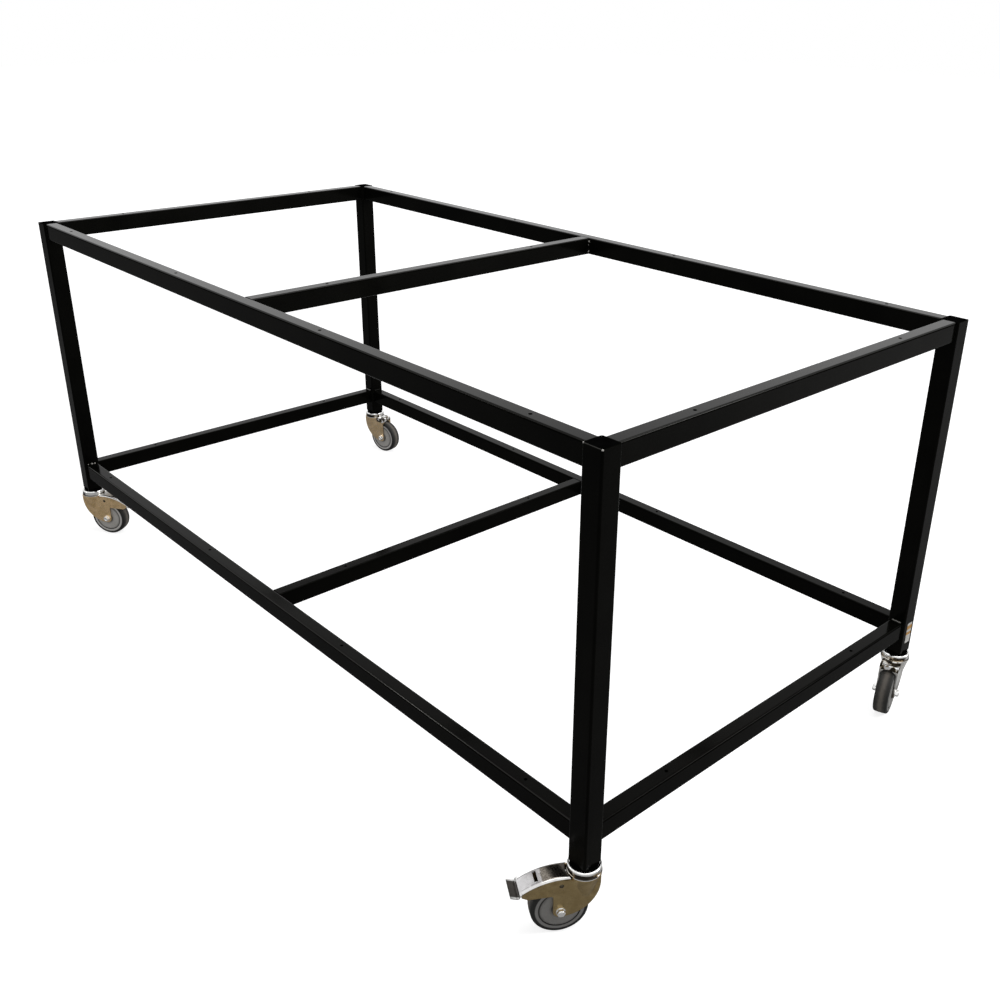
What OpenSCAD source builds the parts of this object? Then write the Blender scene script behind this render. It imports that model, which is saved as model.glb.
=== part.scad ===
/* [Frame] */
// Length of the frame over the legs, left to right
frame_l = 2000; // [1400:10:2400]
// Depth of the frame over the legs, front to back
frame_w = 1000; // [700:10:1200]
// Height of the upper rail tops over the floor
frame_h = 870; // [700:5:1000]
// How far the legs reach down below the shelf rails
leg_drop = 35; // [20:1:120]

/* [Tubes] */
// Outer width of the square leg tube
leg_tube = 40; // [38:1:50]
// Width of a rail tube
rail_w = 30; // [24:1:32]
// Height of a rail tube
rail_h = 40; // [30:1:60]
// Wall thickness of all tubes
wall = 2; // [1.5:0.1:3]
// Outer corner radius of the tubes
tube_r = 4; // [2:0.5:4]
// Inner corner radius of the tubes
tube_ri = 2; // [1:0.5:3]

/* [Screw holes] */
// Diameter of the screw holes through the rails
screw_d = 5; // [3:0.5:8]
// Distance of the outer holes in the long rails from the end of the frame
hole_end = 165; // [80:5:300]
// Distance of the holes in the cross rails from the side of the frame
hole_side = 215; // [80:5:300]

/* [Leg ends] */
// Depth of a leg cap in the tube
cap_h = 14; // [8:1:30]
// Thickness of a leg cap's top and of its skirt
cap_t = 2.4; // [1.6:0.2:4]
// Room on each side between a cap or a plug and the tube
plug_fit = 0.15; // [0.05:0.05:0.4]
// Height of the plug inside the leg foot
plug_h = 40; // [25:1:60]
// Diameter of the plug's round collar under the leg
collar_d = 47; // [42:1:52]
// Height of the plug's round collar
collar_h = 5; // [3:0.5:8]

/* [Caster head] */
// Diameter of the stem bolt
stem_d = 10; // [8:1:10]
// Width of the stem bolt's hex head across its flats
stem_af = 17; // [13:1:18]
// Height of the stem bolt's hex head
stem_head = 6.4; // [5:0.2:7]
// Outer diameter of the pressed head cup
cup_d = 58; // [54:1:60]
// Rounding of the cup's shoulder
cup_round = 3; // [2:0.5:6]
// Thickness of the cup's sheet
cup_t = 3; // [2:0.2:3]
// Outer diameter of the lower race ring and of the fork's crown
ring_d = 60; // [56:1:64]
// Thickness of the lower race ring
ring_t = 3; // [2:0.2:4]
// Gap between the cup's rim and the lower race ring
swivel_gap = 0.6; // [0.4:0.1:1.5]
// Outer diameter of the kingpin
kingpin_d = 20; // [18:0.5:22]
// Diameter of the bearing balls
ball_d = 8; // [6:0.5:9]
// Pitch circle diameter of the bearing balls
ball_pcd = 38; // [34:1:40]
// Play of a ball between the two races
ball_play = 0.4; // [0.2:0.1:0.8]

/* [Fork] */
// Clear width between the fork's cheeks
fork_gap = 35; // [34.6:0.2:38]
// Thickness of the cheeks
sheet = 2.5; // [2:0.1:3]
// Thickness of the crown
crown_t = 3; // [2.5:0.1:4]
// Room between the tyre and the underside of the crown
wheel_room = 12.6; // [12:0.2:18]
// Trail: distance of the axle from the swivel axis
trail = 43; // [40:0.5:46]
// Distance of the cheeks' back edge from the swivel axis
fork_back = 24; // [18:0.5:26]
// Radius of the cheeks' round end at the axle
boss_r = 12.5; // [10:0.5:14]
// Height of the cone that widens the cheeks up to the crown's rim
flare_h = 40; // [25:1:45]
// Length of the plain fork's crown in front of the swivel axis
crown_reach = 50; // [46:0.5:52]
// Height of the plain fork's front lip, below the crown's top
lip_h = 10; // [6:0.5:11]
// Reach of the braked fork's horns from the swivel axis
horn_reach = 109; // [100:1:112]
// Drop of the horn tips below the crown's top
horn_fall = 21.6; // [18:0.2:24]
// Depth of the horns' lower edge below the crown's top
horn_low = 32; // [30:0.5:34]

/* [Wheel] */
// Diameter of the wheel
wheel_d = 100; // [90:1:110]
// Width of the tyre
tyre_w = 30; // [26:0.5:30]
// Height of the tyre's rubber from the rim to the tread
tyre_h = 14; // [11:0.5:16]
// Rounding of the tyre's shoulders
shoulder_r = 4; // [3:0.5:8]
// Radius of the tread's crown across the tyre
tread_crown = 110; // [60:5:200]
// Diameter of the thread guards
guard_d = 69; // [60:0.5:70]
// Thickness of a thread guard
guard_t = 1.6; // [1.2:0.1:2]
// Diameter of the axle bolt
axle_d = 8; // [6:0.5:8]
// Width of the axle's nut and bolt head across their flats
axle_af = 13; // [12:0.5:15]
// Diameter of the axle's spacer sleeve
sleeve_d = 12; // [10:0.5:14]
// Width of the hub over its ends
hub_w = 34; // [32:0.2:34]

/* [Brake] */
// Distance of the pedal's rivets from the swivel axis
pin_x = 42; // [40:0.5:44]
// Depth of the pedal's rivets below the crown's top
pin_drop = 12.6; // [11:0.2:14]
// Diameter of the pedal's rivets
pin_d = 5; // [4:0.5:6]
// Gap between the horn edges and the pedal
pedal_gap = 0.5; // [0.3:0.1:1]
// Thickness of the pedal's sheet
pedal_t = 2; // [1.5:0.1:2.5]
// Height of the pedal's top over the lower edge of its rolled sides
pedal_rise = 3; // [2.5:0.1:4]
// Outer radius of the pedal's rolled sides
pedal_round = 6; // [4.5:0.5:8]
// Width of the raised pad and the raised tip panel on the pedal
pad_w = 28; // [20:1:28]
// Height of the raised pad over the pedal
pad_h = 1; // [0.6:0.1:1.5]
// Length of the slot across the raised pad
slot_l = 24; // [10:1:26]
// Width of the slot, measured along the pedal
slot_w = 6; // [3:0.5:8]
// Width of the pedal's flared lip
lip_w = 44; // [36:1:48]
// Length of the pedal's flared lip
lip_l = 12; // [6:0.5:16]
// Width of the brake shoe
shoe_w = 24; // [16:1:26]
// Gap between the brake shoe and the tyre
shoe_gap = 0.8; // [0.5:0.1:1.5]
// Width of the flat spring
spring_w = 12; // [8:0.5:16]
// Thickness of the flat spring
spring_t = 0.8; // [0.5:0.1:1]

/* [Caster directions] */
// Direction in which the front right wheel trails, from +X
turn_fr = 239; // [0:0.5:360]
// Direction in which the front left wheel trails, from +X
turn_fl = 34.5; // [0:0.5:360]
// Direction in which the back right wheel trails, from +X
turn_br = 287.6; // [0:0.1:360]
// Direction in which the back left wheel trails, from +X
turn_bl = 12.5; // [0:0.5:360]

/* [Hidden] */
$fn = 72;

// A little extra length for cuts that go right through
over = 1;

// Heights of the caster's parts over the floor, from the wheel up
axle_z = wheel_d / 2;
crown_under = wheel_d + wheel_room;
crown_top = crown_under + crown_t;
ring_top = crown_top + ring_t;
cup_rim = ring_top + swivel_gap;
ball_z = ring_top + (ball_d + ball_play) / 2;
cup_top = ring_top + ball_d + ball_play + cup_t;
caster_h = cup_top + collar_h;

// Places of the legs and levels of the rails
leg_x = (frame_l - leg_tube) / 2;
leg_y = (frame_w - leg_tube) / 2;
shelf_h = caster_h + leg_drop + rail_h;
bore = leg_tube - 2 * wall;

// One entry per caster: side in X, side in Y, direction of trail
front_right = [1, -1, turn_fr];
front_left = [-1, -1, turn_fl];
back_right = [1, 1, turn_br];
back_left = [-1, 1, turn_bl];
corners = [front_right, front_left, back_right, back_left];

// Stem bolt and kingpin: fits, length left free in the plug, flange under the crown
stem_fit = 0.2;
stem_short = 8;
pin_fit = 0.08;
flange_d = 30;
flange_t = 3.2;
flange_gap = 0.3;
flange_z = crown_under - flange_gap - flange_t;

// Cheeks: the back arc runs from the upright back edge into the axle's boss
fork_w = fork_gap + 2 * sheet;
back_z = crown_top - 12;
back_drop = back_z - axle_z;
back_span = fork_back + trail;
back_r = (pow(back_span, 2) + pow(back_drop, 2) - pow(boss_r, 2)) / (2 * (back_span - boss_r));

// Horns: the upper edge is an arc that leaves the crown's top level at horn_x
horn_x = 40;
horn_r = (pow(horn_reach - horn_x, 2) + pow(horn_fall, 2)) / (2 * horn_fall);
horn_z = crown_top - horn_r;
horn_tip_r = 4;

// Pedal: a sheet as wide as the fork, on the same centre as the horns' upper edge
pin_z = crown_top - pin_drop;
pedal_in = horn_r + pedal_gap;
pedal_out = pedal_in + pedal_rise;
pedal_under = pedal_out - pedal_t;
pedal_lean = asin((horn_reach + 1 - horn_x) / (pedal_under + pedal_t / 2));
pedal_heel = -10;
heel_r = ring_d / 2 + 3;
heel_drop = 0.7;
ear_gap = 0.3;
ear_t = 1.9;
ear_r = 5.5;
ear_y = fork_gap / 2 - ear_gap - ear_t;
shoe_x = 60;
shoe_l = 14;

// Wheel: rim and hub, drop of the tread at its shoulders, seat of the thread guards
rim_r = axle_z - tyre_h;
rim_t = 6;
rim_w = tyre_w - 4;
web_t = 6;
hub_r = 14;
edge_drop = tread_crown - sqrt(pow(tread_crown, 2) - pow(tyre_w / 2 - shoulder_r, 2)) + 0.1;
guard_in = tyre_w / 2 - 1.2;
guard_bore = hub_r + 0.4;

// Points of an arc, from angle a to angle b in n steps
function arc(c, r, a, b, n) = [for (i = [0:n]) c + r * [cos(a + (b - a) * i / n), sin(a + (b - a) * i / n)]];

// What is cut from a square corner at the origin to round it
module corner_cut(r) {
    difference() {
        translate([-over, -over])
            square(r + over);
        translate([r, r])
            circle(r);
    }
}

module round_rect(x, y, r) {
    places = [[-1, -1], [1, -1], [1, 1], [-1, 1]];
    difference() {
        square([x, y], center = true);
        for (k = [0:3])
            translate([places[k][0] * x / 2, places[k][1] * y / 2])
                rotate(90 * k)
                    corner_cut(r);
    }
}

module tube(x, y, length) {
    linear_extrude(length)
        difference() {
            round_rect(x, y, tube_r);
            round_rect(x - 2 * wall, y - 2 * wall, tube_ri);
        }
}

module screw_hole(x, y, top) {
    translate([x, y, top - rail_h - over])
        cylinder(d = screw_d, h = rail_h + 2 * over, $fn = 32);
}

// Long rail between two legs, with four holes on its centre line
module long_rail(side, top) {
    length = frame_l - 2 * leg_tube;
    reach = frame_l / 2 - hole_end;
    color("#1b1b1a")
        difference() {
            translate([-length / 2, side * leg_y, top - rail_h / 2])
                rotate([0, 90, 0])
                    tube(rail_h, rail_w, length);
            for (x = [-reach, -reach / 3, reach / 3, reach])
                screw_hole(x, side * leg_y, top);
        }
}

// Cross rail of the given length, with two holes on its centre line
module cross_rail(x, length, top) {
    reach = frame_w / 2 - hole_side;
    color("#1b1b1a")
        difference() {
            translate([x, length / 2, top - rail_h / 2])
                rotate([90, 0, 0])
                    tube(rail_w, rail_h, length);
            for (y = [-reach, reach])
                screw_hole(x, y, top);
        }
}

module end_rail(side, top) {
    cross_rail(side * leg_x, frame_w - 2 * leg_tube, top);
}

module middle_rail(top) {
    cross_rail(0, 2 * leg_y - rail_w, top);
}

module leg(c) {
    color("#161616")
        translate([c[0] * leg_x, c[1] * leg_y, caster_h])
            tube(leg_tube, leg_tube, frame_h - caster_h);
}

module at_leg(c) {
    translate([c[0] * leg_x, c[1] * leg_y, 0])
        rotate(c[2])
            children();
}

// Plastic inserts that close the leg tops, hollow below
module leg_caps() {
    w = bore - 2 * plug_fit;
    color("#0c0c0c")
        for (c = corners)
            translate([c[0] * leg_x, c[1] * leg_y, frame_h - cap_h])
                difference() {
                    linear_extrude(cap_h)
                        round_rect(w, w, tube_ri);
                    translate([0, 0, -over])
                        linear_extrude(cap_h - cap_t + over)
                            round_rect(w - 2 * cap_t, w - 2 * cap_t, tube_ri / 2);
                }
}

// Plastic plugs in the leg feet: square body in the tube, round collar below it
module stem_plugs() {
    w = bore - 2 * plug_fit;
    color("#0e0e0e")
        for (c = corners)
            translate([c[0] * leg_x, c[1] * leg_y, cup_top])
                difference() {
                    union() {
                        cylinder(d = collar_d, h = collar_h);
                        linear_extrude(collar_h + plug_h)
                            round_rect(w, w, tube_ri);
                    }
                    translate([0, 0, -over])
                        cylinder(d = stem_d + stem_fit, h = collar_h + plug_h + 2 * over);
                }
}

module hexagon(af) {
    circle(d = af / cos(30), $fn = 6);
}

// Bolts that hold the casters to the plugs
module stem_bolts() {
    color("#b9bbbd")
        for (c = corners)
            at_leg(c)
                translate([0, 0, flange_z - stem_head]) {
                    linear_extrude(stem_head)
                        hexagon(stem_af);
                    cylinder(d = stem_d, h = caster_h + plug_h - stem_short - flange_z + stem_head);
                }
}

// Hollow kingpins: a flange under the crown, a shank up to the cup's top
module kingpins() {
    color("#c4c6c8")
        for (c = corners)
            at_leg(c)
                rotate_extrude()
                    difference() {
                        union() {
                            translate([0, flange_z])
                                square([flange_d / 2, flange_t]);
                            translate([0, flange_z])
                                square([kingpin_d / 2, cup_top - flange_z]);
                        }
                        translate([-over, flange_z - over])
                            square([stem_d / 2 + stem_fit / 2 + over, cup_top - flange_z + 2 * over]);
                    }
}

// Pressed cup that covers the bearing, with a rounded shoulder
module head_cup() {
    inner = cup_d / 2 - cup_t;
    color("#c9cbcc")
        rotate_extrude()
            difference() {
                translate([kingpin_d / 2 + pin_fit / 2, cup_rim])
                    square([cup_d / 2 - kingpin_d / 2 - pin_fit / 2, cup_top - cup_rim]);
                translate([cup_d / 2, cup_top])
                    rotate(180)
                        corner_cut(cup_round);
                difference() {
                    translate([0, cup_rim - over])
                        square([inner, cup_top - cup_t - cup_rim + over]);
                    translate([inner, cup_top - cup_t])
                        rotate(180)
                            corner_cut(cup_round / 2);
                }
            }
}

// Race ring on the crown, with a rounded rim
module lower_race() {
    r = kingpin_d / 2 + pin_fit;
    color("#d2d4d5")
        rotate_extrude()
            difference() {
                translate([r, crown_top])
                    square([ring_d / 2 - r, ring_t]);
                translate([ring_d / 2, ring_top])
                    rotate(180)
                        corner_cut(ring_t / 2);
            }
}

module bearing_balls() {
    count = floor(180 / asin(ball_d / ball_pcd) - 0.5);
    color("#d8d8d8")
        for (i = [0:count - 1])
            rotate(360 * i / count)
                translate([ball_pcd / 2, 0, ball_z])
                    sphere(d = ball_d, $fn = 24);
}

// Outline of both forks behind the axle: upright edge and back arc
function fork_rear() = concat(
    [[-fork_back, crown_top]],
    arc([back_r - fork_back, back_z], back_r, 180, 270 + atan2(trail + fork_back - back_r, back_drop), 28)
);

// Plain fork: the front edge leans back a little from the boss up to the crown
module plain_outline() {
    difference() {
        polygon(concat(
            fork_rear(),
            arc([trail, axle_z], boss_r, -84, -40, 6),
            [[crown_reach, crown_top]]
        ));
        translate([crown_reach, crown_top])
            rotate(180)
                corner_cut(3);
    }
}

// Braked fork: upright front edge below, and the horn that reaches over the wheel
module horn_outline() {
    lean = asin((horn_reach - horn_tip_r - horn_x) / (horn_r - horn_tip_r));
    tip = [horn_reach - horn_tip_r, horn_z + (horn_r - horn_tip_r) * cos(lean)];
    low = crown_top - horn_low;
    fillet = 5;
    polygon(concat(
        fork_rear(),
        arc([trail, axle_z], boss_r, -84, 0, 12),
        arc([trail + boss_r + fillet, low - fillet], fillet, 180, 90, 6),
        [[horn_reach - 11, low]],
        arc(tip, horn_tip_r, -45, 90 - lean, 8),
        arc([horn_x, horn_z], horn_r, 90 - lean + 1, 90, 16)
    ));
}

// Crown with the cone that narrows from its rim to the width of the cheeks, or the same drawn inwards
module crown_funnel(inset) {
    low = crown_under - flare_h;
    rim = ring_d / 2 - inset;
    rotate_extrude($fn = 96)
        polygon([
            [0, low], [fork_w / 2 - 0.2 - inset, low], [rim - 1, crown_under],
            if (inset == 0) each [[rim, crown_under], [rim, crown_top], [0, crown_top]],
            if (inset > 0) [0, crown_under]
        ]);
}

// Space between the cheeks, with rounded corners under the crown
module fork_inside() {
    difference() {
        translate([-fork_gap / 2, -over])
            square([fork_gap, crown_under + over]);
        translate([-fork_gap / 2, crown_under])
            rotate(-90)
                corner_cut(2.5);
        translate([fork_gap / 2, crown_under])
            rotate(180)
                corner_cut(2.5);
    }
}

module across(width) {
    rotate([90, 0, 0])
        linear_extrude(width, center = true)
            children();
}

module along(from, to) {
    translate([from, 0, 0])
        rotate([90, 0, 90])
            linear_extrude(to - from)
                children();
}

module axle_bore() {
    translate([trail, 0, axle_z])
        rotate([90, 0, 0])
            cylinder(d = axle_d + 0.2, h = ring_d, center = true, $fn = 48);
}

module king_bore() {
    translate([0, 0, crown_under - over])
        cylinder(d = kingpin_d + 2 * pin_fit, h = crown_t + 2 * over);
}

// Fork without brake: crown with a turned-down front lip that arches over the tyre
module plain_fork() {
    arch_r = fork_gap / 2 + 1.5;
    color("#8d7a58")
        difference() {
            union() {
                across(fork_w)
                    plain_outline();
                crown_funnel(0);
            }
            along(-ring_d, crown_reach - sheet)
                fork_inside();
            crown_funnel(sheet);
            along(0, ring_d + 10)
                intersection() {
                    translate([-fork_gap / 2, -over])
                        square([fork_gap, crown_top]);
                    union() {
                        translate([0, crown_top - lip_h - arch_r])
                            circle(arch_r);
                        translate([-fork_gap / 2, -over])
                            square([fork_gap, crown_top - lip_h - arch_r + over]);
                    }
                }
            axle_bore();
            king_bore();
        }
}

// Fork with brake: round crown, cheeks that reach forward as two horns
module braked_fork() {
    color("#8d7a58")
        difference() {
            union() {
                across(fork_w)
                    horn_outline();
                crown_funnel(0);
            }
            along(-ring_d, horn_reach + 10)
                fork_inside();
            crown_funnel(sheet);
            difference() {
                translate([0, -fork_gap / 2, crown_under - 5])
                    cube([horn_reach, fork_gap, crown_t + 10]);
                cylinder(d = ring_d, h = crown_top + over);
            }
            // Top edge of the cheeks in front of the crown, lowered for the pedal's heel
            difference() {
                across(ring_d + 4)
                    polygon([[20, crown_under - heel_drop], [20, crown_top + over], [horn_x, crown_top + over],
                             [horn_x, crown_top], [24, crown_under - heel_drop / 7]]);
                cylinder(d = ring_d, h = crown_top + over);
            }
            translate([pin_x, 0, pin_z])
                rotate([90, 0, 0])
                    cylinder(d = pin_d + 0.2, h = ring_d, center = true, $fn = 36);
            axle_bore();
            king_bore();
        }
}

// Axle bolt with head, nut, washers and the sleeve between the cheeks
module axle() {
    head_h = 5.3;
    washer_t = 1.6;
    washer_d = axle_af + 3;
    end_l = 1.6;
    face = fork_w / 2;
    color("#c0c2c4")
        translate([trail, 0, axle_z])
            rotate([90, 0, 0]) {
                cylinder(d = sleeve_d, h = fork_gap, center = true, $fn = 48);
                translate([0, 0, -face - washer_t - head_h - end_l])
                    cylinder(d = axle_d, h = 2 * (face + washer_t + head_h) + end_l, $fn = 48);
                for (s = [0, 1])
                    mirror([0, 0, s]) {
                        translate([0, 0, face])
                            cylinder(d = washer_d, h = washer_t, $fn = 48);
                        translate([0, 0, face + washer_t])
                            linear_extrude(head_h)
                                hexagon(axle_af);
                    }
            }
}

module on_axle() {
    translate([trail, 0, axle_z])
        rotate([90, 0, 0])
            rotate_extrude($fn = 96)
                children();
}

// Plastic wheel centre: hub, web and rim
module wheel_centre() {
    bore_r = sleeve_d / 2 + pin_fit;
    color("#5d5c5a")
        on_axle()
            union() {
                translate([bore_r, -hub_w / 2])
                    square([hub_r - bore_r, hub_w]);
                translate([hub_r - over, -web_t / 2])
                    square([rim_r - rim_t - hub_r + 2 * over, web_t]);
                translate([rim_r - rim_t, -rim_w / 2])
                    square([rim_t, rim_w]);
            }
}

// Rubber tyre with a lightly crowned tread and rounded shoulders
module tyre() {
    color("#4c4b49")
        on_axle()
            difference() {
                intersection() {
                    translate([rim_r, -tyre_w / 2])
                        square([tyre_h + over, tyre_w]);
                    translate([axle_z - tread_crown, 0])
                        circle(tread_crown, $fn = 180);
                }
                for (m = [0, 1])
                    mirror([0, m])
                        translate([axle_z - edge_drop, tyre_w / 2])
                            rotate(180)
                                corner_cut(shoulder_r);
            }
}

// Two dished discs that keep thread out of the hub
module thread_guards() {
    color("#6f6e6b")
        translate([trail, 0, axle_z])
            rotate([90, 0, 0])
                for (s = [0, 1])
                    mirror([0, 0, s])
                        rotate_extrude($fn = 96)
                            difference() {
                                translate([guard_bore, guard_in])
                                    square([guard_d / 2 - guard_bore, guard_t]);
                                translate([guard_d / 2, guard_in + guard_t])
                                    rotate(180)
                                        corner_cut(guard_t / 2);
                            }
}

// The lip's centre line as points with headings: a bend, or a straight step, from the last one
function bend(from, r, angle, n) =
    let (s = sign(angle), c = from[0] + s * r * [-sin(from[1]), cos(from[1])])
    [for (k = [1:n]) let (h = from[1] + angle * k / n) [c + s * r * [sin(h), -cos(h)], h]];
function step(from, l) = [[from[0] + l * [cos(from[1]), sin(from[1])], from[1]]];
function last(v) = v[len(v) - 1];

// Lip at the pedal's tip: down behind the horn tips, then up and out
module pedal_lip() {
    half = pedal_t / 2 + 0.02;
    start = [[[horn_x, horn_z] + (pedal_under + pedal_t / 2) * [sin(pedal_lean), cos(pedal_lean)], -pedal_lean]];
    down = bend(last(start), 3, -33, 6);
    drop = step(last(down), 3);
    up = bend(last(drop), 3, 87, 12);
    path = concat(start, down, drop, up, step(last(up), lip_l));
    polygon(concat(
        [start[0][0] - 2 * [cos(pedal_lean), -sin(pedal_lean)]],
        [for (q = path) q[0] + half * [-sin(q[1]), cos(q[1])]],
        [for (i = [len(path) - 1:-1:0]) path[i][0] + half * [sin(path[i][1]), -cos(path[i][1])]]
    ));
}

// Part of a ring about the horns' arc centre, between two angles from the upright
module horn_band(inner, outer, from, to) {
    far = 1.2 * outer;
    translate([horn_x, horn_z])
        intersection() {
            difference() {
                circle(outer, $fn = 180);
                circle(inner, $fn = 180);
            }
            polygon([[0, 0], for (k = [0:4]) far * [sin(from + (to - from) * k / 4), cos(from + (to - from) * k / 4)]]);
        }
}

// Section across the pedal: a flat top whose sides roll down, or the same drawn inwards
module pedal_section(inset) {
    side = fork_w / 2 - inset;
    top = pedal_out - inset;
    difference() {
        translate([pedal_in - inset, -side])
            square([top - pedal_in + inset, 2 * side]);
        for (m = [0, 1])
            mirror([0, m])
                translate([top, side])
                    rotate(180)
                        corner_cut(pedal_round - inset);
    }
}

// Ear of the pedal that hangs on one rivet
module pedal_ear() {
    across(ear_t)
        difference() {
            translate([pin_x - ear_r, pin_z - ear_r])
                square([2 * ear_r, horn_z + pedal_under + 0.3 - pin_z + ear_r]);
            for (m = [0, 1])
                translate([pin_x + (2 * m - 1) * ear_r, pin_z - ear_r])
                    rotate(90 * m)
                        corner_cut(ear_r * 0.9);
        }
}

// Brake pedal: arched sheet with rolled sides, ears on the rivets, slotted pad, tip panel, flared lip
module pedal() {
    pad = [16.8, 24.4];
    panel = [26.3, pedal_lean - 1.6];
    panel_h = 0.6;
    slot_mid = 19.9;
    slot_half = slot_w / 2 / pedal_out * 180 / PI;
    color("#b4b5b6")
        difference() {
            union() {
                translate([horn_x, 0, horn_z])
                    rotate([90, 0, 0])
                        rotate_extrude(angle = pedal_lean - pedal_heel, start = 90 - pedal_lean, $fn = 180)
                            difference() {
                                pedal_section(0);
                                pedal_section(pedal_t);
                            }
                across(lip_w)
                    pedal_lip();
                for (s = [-1, 1])
                    translate([0, s * (ear_y + ear_t / 2), 0])
                        pedal_ear();
                across(pad_w)
                    horn_band(pedal_out - pedal_t / 2, pedal_out + pad_h, pad[0], pad[1]);
                across(pad_w)
                    horn_band(pedal_out - pedal_t / 2, pedal_out + panel_h, panel[0], panel[1]);
            }
            across(slot_l)
                horn_band(pedal_under - over, pedal_out + pad_h + over, slot_mid - slot_half, slot_mid + slot_half);
            cylinder(r = heel_r, h = crown_top * 2, $fn = 96);
            translate([pin_x, 0, pin_z])
                rotate([90, 0, 0])
                    cylinder(d = pin_d + 0.2, h = ring_d, center = true, $fn = 36);
        }
}

// One rivet in each cheek, flat head inside, domed head outside
module pedal_rivets() {
    head_r = pin_d / 2 + 1.5;
    dome = 1.9;
    dome_r = (pow(head_r, 2) + pow(dome, 2)) / (2 * dome);
    color("#a9a9a8")
        translate([pin_x, 0, pin_z])
            rotate([90, 0, 0])
                for (s = [0, 1])
                    mirror([0, 0, s]) {
                        translate([0, 0, ear_y - 1])
                            cylinder(r = head_r - 0.5, h = 1, $fn = 36);
                        translate([0, 0, ear_y - 1])
                            cylinder(d = pin_d, h = fork_w / 2 - ear_y + 1.4, $fn = 36);
                        translate([0, 0, fork_w / 2])
                            rotate_extrude($fn = 36)
                                intersection() {
                                    square([head_r, dome]);
                                    translate([0, dome - dome_r])
                                        circle(dome_r, $fn = 96);
                                }
                    }
}

// Shoe under the pedal that the pressed pedal holds on the tread
module brake_shoe() {
    color("#3a3a3a")
        across(shoe_w)
            difference() {
                intersection() {
                    translate([horn_x, horn_z])
                        circle(pedal_under - 0.1, $fn = 180);
                    translate([shoe_x, axle_z + 20])
                        square([shoe_l, crown_top]);
                }
                translate([trail, axle_z])
                    circle(axle_z + shoe_gap, $fn = 180);
            }
}

// Flat spring from the crown's underside to the pedal's underside
module brake_spring() {
    foot = flange_d / 2 + 1.5;
    knee = ring_d / 2 + 0.5;
    end = pin_x + 12;
    below_pedal = 1.2;
    rise = pedal_under + horn_z - below_pedal - crown_under;
    color("#b7b7b5")
        across(spring_w)
            polygon([
                [foot, crown_under], [foot, crown_under - spring_t],
                [knee, crown_under - spring_t], [end, crown_under - spring_t + rise],
                [end, crown_under + rise], [knee, crown_under]
            ]);
}

leg(front_right);  // leg_front_right
leg(front_left);  // leg_front_left
leg(back_right);  // leg_back_right
leg(back_left);  // leg_back_left
long_rail(-1, frame_h);  // top_rail_front
long_rail(1, frame_h);  // top_rail_back
end_rail(-1, frame_h);  // top_rail_left
end_rail(1, frame_h);  // top_rail_right
middle_rail(frame_h);  // top_rail_middle
long_rail(-1, shelf_h);  // shelf_rail_front
long_rail(1, shelf_h);  // shelf_rail_back
end_rail(-1, shelf_h);  // shelf_rail_left
end_rail(1, shelf_h);  // shelf_rail_right
middle_rail(shelf_h);  // shelf_rail_middle
leg_caps();
stem_plugs();
stem_bolts();
kingpins();
at_leg(front_right) head_cup();  // head_cup_front_right
at_leg(front_left) head_cup();  // head_cup_front_left
at_leg(back_right) head_cup();  // head_cup_back_right
at_leg(back_left) head_cup();  // head_cup_back_left
at_leg(front_right) lower_race();  // lower_race_front_right
at_leg(front_left) lower_race();  // lower_race_front_left
at_leg(back_right) lower_race();  // lower_race_back_right
at_leg(back_left) lower_race();  // lower_race_back_left
at_leg(front_right) bearing_balls();  // bearing_balls_front_right
at_leg(front_left) bearing_balls();  // bearing_balls_front_left
at_leg(back_right) bearing_balls();  // bearing_balls_back_right
at_leg(back_left) bearing_balls();  // bearing_balls_back_left
at_leg(front_right) braked_fork();  // fork_front_right
at_leg(front_left) braked_fork();  // fork_front_left
at_leg(back_right) plain_fork();  // fork_back_right
at_leg(back_left) plain_fork();  // fork_back_left
at_leg(front_right) axle();  // axle_front_right
at_leg(front_left) axle();  // axle_front_left
at_leg(back_right) axle();  // axle_back_right
at_leg(back_left) axle();  // axle_back_left
at_leg(front_right) wheel_centre();  // wheel_centre_front_right
at_leg(front_left) wheel_centre();  // wheel_centre_front_left
at_leg(back_right) wheel_centre();  // wheel_centre_back_right
at_leg(back_left) wheel_centre();  // wheel_centre_back_left
at_leg(front_right) tyre();  // tyre_front_right
at_leg(front_left) tyre();  // tyre_front_left
at_leg(back_right) tyre();  // tyre_back_right
at_leg(back_left) tyre();  // tyre_back_left
at_leg(front_right) thread_guards();  // thread_guards_front_right
at_leg(front_left) thread_guards();  // thread_guards_front_left
at_leg(back_right) thread_guards();  // thread_guards_back_right
at_leg(back_left) thread_guards();  // thread_guards_back_left
at_leg(front_right) pedal();  // pedal_front_right
at_leg(front_left) pedal();  // pedal_front_left
at_leg(front_right) pedal_rivets();  // pedal_rivets_front_right
at_leg(front_left) pedal_rivets();  // pedal_rivets_front_left
at_leg(front_right) brake_shoe();  // brake_shoe_front_right
at_leg(front_left) brake_shoe();  // brake_shoe_front_left
at_leg(front_right) brake_spring();  // brake_spring_front_right
at_leg(front_left) brake_spring();  // brake_spring_front_left
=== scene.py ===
# %% [markdown]
# # A packing table frame on four swivel casters
# The real object is a welded frame of square and flat steel tube, coated black in one go after
# the welding, with a plastic cap in each leg top and a swivel caster in each leg foot. The solids
# come from the drawing; this lesson gives them their finishes, and adds what the drawing leaves
# out: weld beads, the coat's swollen rims round the screw holes, seals, nut collars and a label.
# All lengths are in metres, unless a comment says otherwise.

# %% Load the solids of the drawing
import math

import bmesh
import bpy
from mathutils import Matrix, Vector


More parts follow.
